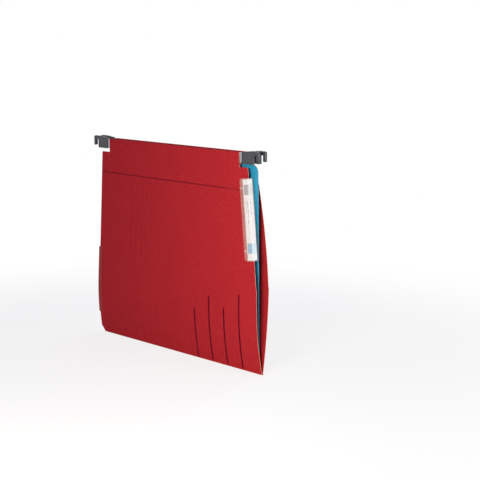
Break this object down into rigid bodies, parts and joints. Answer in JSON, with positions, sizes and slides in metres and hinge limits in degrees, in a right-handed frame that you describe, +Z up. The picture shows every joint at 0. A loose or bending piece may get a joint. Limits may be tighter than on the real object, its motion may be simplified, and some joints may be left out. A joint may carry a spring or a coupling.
{
  "type": "hanging file folder",
  "caption": "Lateral hanging file: card covers folded in a V, hung from bars with hooks on rails, with rear gusset, clear label holder on the front edge and an inner folder.",
  "frame": {"origin": "midway between the four hook seats, at the level where the hooks rest on the rails", "axes": "+X across the folder from the front cover to the back cover, +Y from the open front edge to the rear gusset, +Z up"},
  "size_m": [0.0254, 0.344, 0.2761],
  "materials": {
    "red_card": "dyed pressboard, matt",
    "bar_steel": "zinc plated strip",
    "hook_nylon": "moulded nylon",
    "gusset_linen": "paper backed linen",
    "clear_plastic": "clear extruded plastic",
    "label_paper": "smooth white card",
    "grey_sticker": "printed paper",
    "blue_sticker": "printed paper",
    "white_nylon": "moulded nylon",
    "blue_card": "dyed folder card"
  },
  "bodies": {
    "front": {"front_cover": "red_card", "front_bar": "bar_steel", "front_bar_front_hook": "hook_nylon", "front_bar_rear_hook": "hook_nylon", "label_holder": "clear_plastic", "snap_studs": "white_nylon", "snap_caps": "white_nylon", "gusset_front_half": "gusset_linen"},
    "back": {"back_cover": "red_card", "back_bar": "bar_steel", "back_bar_front_hook": "hook_nylon", "back_bar_rear_hook": "hook_nylon", "gusset_back_half": "gusset_linen"},
    "inner_folder": {"inner_folder_front_leaf": "blue_card"},
    "inner_leaf": {"inner_folder_back_leaf": "blue_card"},
    "label": {"label_insert": "label_paper", "upper_index_sticker": "grey_sticker", "lower_index_sticker": "blue_sticker"}
  },
  "joints": [
    {"name": "cover_open", "type": "hinge", "parent": "front", "child": "back", "pos_m": [0.0021, 0, -0.27], "axis": [0, 1, 0], "range_deg": [0, 10], "deforming": ["gusset_front_half", "gusset_back_half"]},
    {"name": "inner_lift", "type": "slide", "parent": "front", "child": "inner_folder", "axis": [0, 0, 1], "range_m": [0, 0.28]},
    {"name": "inner_leaf_open", "type": "hinge", "parent": "inner_folder", "child": "inner_leaf", "pos_m": [0.0021, -0.1629, -0.25836], "axis": [0, 1, -0.0087], "range_deg": [0, 5]},
    {"name": "label_slide", "type": "slide", "parent": "front", "child": "label", "axis": [0, -0.1019, -0.9948], "range_m": [0, 0.1]}
  ],
  "couplings": [
    {"joint": "inner_leaf_open", "follows": "cover_open", "ratio": 0.5}
  ]
}
